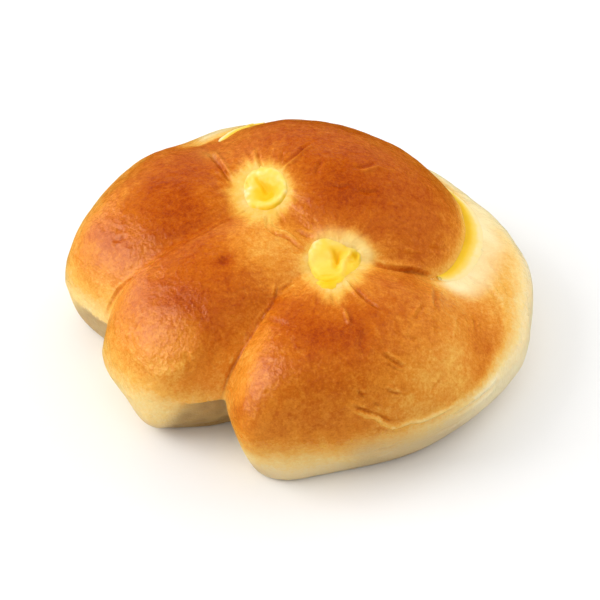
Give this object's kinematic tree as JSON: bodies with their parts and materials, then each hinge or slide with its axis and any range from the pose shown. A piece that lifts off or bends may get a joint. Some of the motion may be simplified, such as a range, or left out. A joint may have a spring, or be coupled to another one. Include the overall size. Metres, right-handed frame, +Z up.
{
  "type": "custard cream bun",
  "caption": "Soft glove-shaped sweet bun with three fingers, folded over a custard filling that shows at the slits and along the side.",
  "frame": {"origin": "middle of the bun's outline, on the flat base it rests on", "axes": "+Z up; +X to the right as pictured; +Y away from the camera; the three fingers point to -X and -Y"},
  "size_m": [0.1206, 0.1116, 0.0439],
  "materials": {
    "bun_crust": "egg-washed baked crust, golden brown on top and pale at the lower sides",
    "custard": "smooth set custard with a soft shine"
  },
  "bodies": {
    "root": {"bun_dough": "bun_crust", "custard_filling": "custard"}
  },
  "joints": []
}
